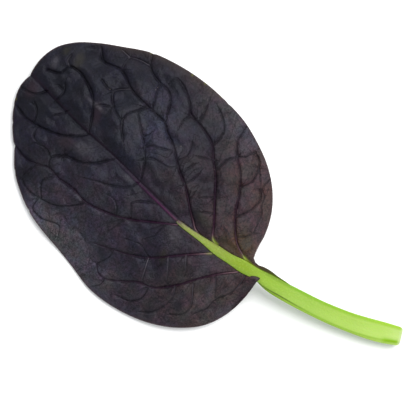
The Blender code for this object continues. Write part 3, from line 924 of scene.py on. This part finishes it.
    def paint_margin(self):
        """A thin light edge, broader and browner on the right, its yellow-green spots, and pale specks."""
        self.paint((self.edge / 0.28).bell() * (1 - self.wing) * 0.6, 88, 66, 66)
        right_edge = (self.edge / 1.6).bell() * (self.x / 24).step(0.7, 1.0) * self.y.step(14, 24)
        self.paint(right_edge * 0.35, 72, 58, 46)
        self.paint(self.field("spots") * 0.8, 128, 126, 54)
        specks = self.cells(self.position, 4.2, "F1")
        self.paint(1 - specks.step(0.015, 0.035), 118, 108, 100)

    def underside(self):
        """The colour below, paler along the veins and the rib."""
        below = self.blend(self.blotch, colour(70, 66, 66), colour(96, 86, 90))
        below = self.blend((self.side / 0.45).bell() * self.power * 0.8, below, colour(128, 130, 100))
        return self.blend(self.rib.bell() * 0.85, below, colour(142, 152, 96))


def stalk_finish():
    """Moist, slightly see-through yellow-green: pale on the broad upper face and at the cut end, and deeper
    along both rims and where the rib runs into the blade, with painted shade on the fold and in its crease by
    the cut end, and painted shade cast by the lobe's tip."""
    flesh = Finish("green_stalk_flesh", {
        "Roughness": 0.42, "Subsurface Weight": 0.2, "Subsurface Scale": 0.0015,
        "Subsurface Radius": (0.5, 1.0, 0.1), "Specular IOR Level": 0.18,
    })
    position = flesh.read_position()
    across, station, face = flesh.field("across"), flesh.field("station"), flesh.field("face")
    cap, fold = flesh.field("cap"), flesh.field("fold")
    lengthwise = flesh.node("ShaderNodeCombineXYZ", {}, {0: across * 5, 1: station / 14, 2: face * 2})
    streak = flesh.node("ShaderNodeTexNoise", {}, {"Vector": lengthwise, "Scale": 1.6, "Detail": 3.0})
    blotch, grain = flesh.clouds(position, 1.6), flesh.clouds(position, 0.5, 3)
    face_tint = flesh.gradient(station, (
        (-40, (212, 244, 134)), (-35, (199, 237, 108)), (-26, (187, 226, 94)), (-14, (175, 216, 84)),
        (-4, (165, 205, 62)), (4, (147, 179, 26)), (14, (156, 176, 68)), (21, (154, 160, 84)),
        (25.2, (100, 72, 84)),
    ))
    rim_tint = flesh.gradient(station, (
        (-38, (170, 218, 20)), (-26, (152, 204, 4)), (-12, (138, 192, 0)), (-3, (128, 168, 0)),
        (0, (146, 184, 6)), (4, (146, 178, 6)), (14, (126, 136, 36)), (25.2, (86, 58, 70)),
    ))
    tint = flesh.blend(across.step(0.5, 0.85), face_tint, rim_tint)
    left_strip = (-fold).step(0, 0.06) * station.step(-37, -33)
    flesh.tint = flesh.blend(left_strip * 0.15, tint, rim_tint)
    # Painted shade cast by the lobe's tip on the stalk's left side.
    lobe_shadow = (1 - across.step(-0.9, -0.1)) * station.step(-12, -5)
    flesh.paint(lobe_shadow * 0.5, 118, 152, 30)
    body = flesh.blend(station.step(-16, 20), colour(150, 200, 56), colour(132, 158, 70))
    flesh.tint = flesh.blend(face, body, flesh.tint)
    flesh.paint((streak - 0.45).step(0, 0.35) * 0.07, 206, 236, 110)
    flesh.paint((grain - 0.5).step(0, 0.3) * 0.35, 208, 240, 110)
    # Painted shade along the fold: deeper green lower down, and a dark line beside the lobe.
    flesh.paint((fold / 0.09).bell() * (1 - station.step(-3, 0)) * 0.5, 142, 194, 30)
    fold_line = (fold / 0.065).bell() * station.step(-18, -8) * (1 - station.step(-1.8, -1.2))
    flesh.paint(fold_line * 0.85, 70, 84, 30)
    # Painted shade in the fold's crease by the cut end.
    foot_fold_shade = (fold / 0.22).bell() * (1 - station.step(-36.5, -35)) * station.step(-39.6, -39)
    flesh.paint(foot_fold_shade, 150, 204, 0)
    flesh.paint(cap * 0.7, 222, 238, 190)
    flesh.set("Base Color", flesh.tint)
    flesh.bump(streak * 0.25 + blotch * 0.3 + grain * 0.7, 0.0001)
    return flesh


def make_blade():
    """The blade: a closed grid, shaped row by row along the rib."""
    mesh = closed_grid("veined_blade", BLADE_ROWS, BLADE_COLUMNS)
    grid, upper = read(mesh), read(mesh, "upper")
    plan = blade_plan((grid[:, 0] + 1) / 2, grid[:, 1])
    top, bottom, fields = blade_heights(plan)
    fields["spots"] = sum(bell(np.hypot(*(plan - (x, y)).T) / radius) for x, y, radius in SPOTS)
    fields.update({name: patch(plan, ovals) for name, ovals in PATCHES.items()})
    place(mesh, np.column_stack([plan, np.where(upper > 0.5, top, bottom)]))
    write_fields(mesh, fields)
    add_piece("veined_blade", "leaf_blade", mesh, LeafSkin())


def stalk_section(turn, fold):
    """The section, by the share of the way round it: across and down, as shares of half its width and of its
    depth, and how much of the channel's depth comes on top. It goes from the right rim round the underside
    to the left rim, up to the fold, and back across the channel of the upper face."""
    rim, strip = STALK_TURNS
    angle = np.clip(turn / rim, 0, 1) * math.pi
    across = np.where(turn < rim, np.cos(angle), 0)
    down = np.where(turn < rim, RIM_DOWN + (1 - RIM_DOWN) * np.sin(angle) ** BELLY_POWER, 0)
    share = np.clip((turn - rim) / (strip - rim), 0, 1)
    on_strip = (turn >= rim) & (turn < strip)
    across = np.where(on_strip, -1 + (1 + fold) * share, across)
    down = np.where(on_strip, RIM_DOWN * (1 - smooth(share)), down)
    share = np.clip((turn - strip) / (1 - strip), 0, 1)
    on_face = turn >= strip
    across = np.where(on_face, fold + (1 - fold) * share, across)
    down = np.where(on_face, RIM_DOWN * share**RIM_POWER, down)
    channel = np.where(on_face, np.sin(math.pi * share) ** CHANNEL_POWER, 0)
    return across, down, channel


def make_stalk():
    """The stalk and green rib: a grid whose rows run along it and whose columns wrap round its section."""
    mesh = flat_grid("green_stalk", STALK_ROWS, STALK_RING, 1.0)
    grid = read(mesh)
    row, turn = (grid[:, 0] + 1) / 2, (grid[:, 1] + 1) / 2
    cap, curve, close = STALK_ROW_SHARES
    in_cap, in_curve, ending = (np.clip(v, 0, 1) for v in (row / cap, (row - cap) / curve, (1 - row) / close))
    run = np.clip((row - cap - curve) / (1 - cap - curve), 0, 1)
    station = CUT_END + FOOT_ROUNDING * in_curve
    station += (GREEN_END + RIB_OVERLAP - CUT_END - FOOT_ROUNDING) * run
    half = along(RIB_HALF_WIDTH, station)
    rounding = 1 - np.sqrt(1 - (1 - in_curve) ** 2)
    size = in_cap * (1 - FOOT_ROUNDING / half * rounding) * np.sqrt(1 - (1 - ending) ** 2)
    fold = along(FOLD, station)
    share, down, channel = stalk_section(turn, fold)
    top = along(RIB_TOP, station) + RIB_PROUD
    depth = top - along(RIB_BOTTOM, station)
    down += channel * along(CHANNEL_DEPTH, station) / depth
    share, down = share * size, SECTION_MIDDLE + (down - SECTION_MIDDLE) * size
    # How far the stalk moves across in one millimetre of y, and how long it is there.
    middle = np.maximum(station, CUT_END + 0.5)
    slope = along(RIB_X, middle + 0.5) - along(RIB_X, middle - 0.5)
    length = np.hypot(1.0, slope)
    x = along(RIB_X, station) + share * half / length
    y = station - share * half * slope / length
    place(mesh, np.column_stack([x, y, np.maximum(top - down * depth, STALK_GAP)]))
    rim = STALK_TURNS[0]
    fade_in, fade_out = FACE_FADES
    write_fields(mesh, {
        "across": share, "station": station, "cap": 1 - smooth(in_curve),
        "face": smooth((turn - rim * FACE_START) / fade_in) + smooth((fade_out - turn) / fade_out),
        "fold": np.where(turn > rim, share - fold, 1),
    })
    add_piece("green_stalk", "leaf_stalk", mesh, stalk_finish(), merge=JOINING)


def make_table():
    """A plain white table top with a faint glow."""
    mesh = flat_grid("table_top", 1, 1, TABLE_REACH)
    white = Finish("white_table", {
        "Base Color": TABLE_WHITE, "Roughness": 0.9, "Specular IOR Level": 0.1,
        "Emission Color": (1, 1, 1, 1), "Emission Strength": TABLE_GLOW,
    })
    mesh.materials.append(white.material)
    added("table_top", mesh)


def make_lights():
    """An open sky, brighter near the horizon than straight above, and one large soft lamp from the right."""
    world = bpy.data.worlds.new("studio")
    world.use_nodes = True
    sky = Nodes(world.node_tree)
    direction = sky.node("ShaderNodeTexCoord", {}, {}, "Generated")
    height = sky.node("ShaderNodeSeparateXYZ", {}, {0: direction}, 2)
    shares = {"Value": height * height, "To Min": 2 - ZENITH_SHARE, "To Max": ZENITH_SHARE}
    spread = sky.node("ShaderNodeMapRange", {}, shares)
    background = sky.tree.nodes["Background"].inputs
    sky.feed(background["Color"], sky.scaled(SKY_TINT, spread))
    sky.feed(background["Strength"], LIGHT_LEVEL * (1 - LAMP_SHARE))
    bpy.context.scene.world = world
    lamp = bpy.data.lights.new("soft_lamp", "AREA")
    lamp.size, lamp.energy = LAMP_SIZE, LAMP_WATTS * LIGHT_LEVEL * LAMP_SHARE
    key = added("soft_lamp", lamp)
    key.location = LAMP_PLACE
    key.rotation_euler = key.location.to_track_quat("Z", "Y").to_euler()


def make_camera():
    """Straight above the leaf, turned so that its tip points to the picture's upper left."""
    lens = bpy.data.cameras.new("camera")
    lens.sensor_width, lens.lens = SENSOR_WIDTH, SENSOR_WIDTH * CAMERA_HEIGHT / VIEW_WIDTH
    camera = added("camera", lens)
    camera.location = [part * MM for part in (*CAMERA_PLACE, CAMERA_HEIGHT)]
    camera.rotation_euler = (0, 0, math.radians(CAMERA_TURN))
    bpy.context.scene.camera = camera


make_blade()
make_stalk()
make_table()
make_lights()
make_camera()
bpy.context.scene.view_settings.view_transform = "Standard"
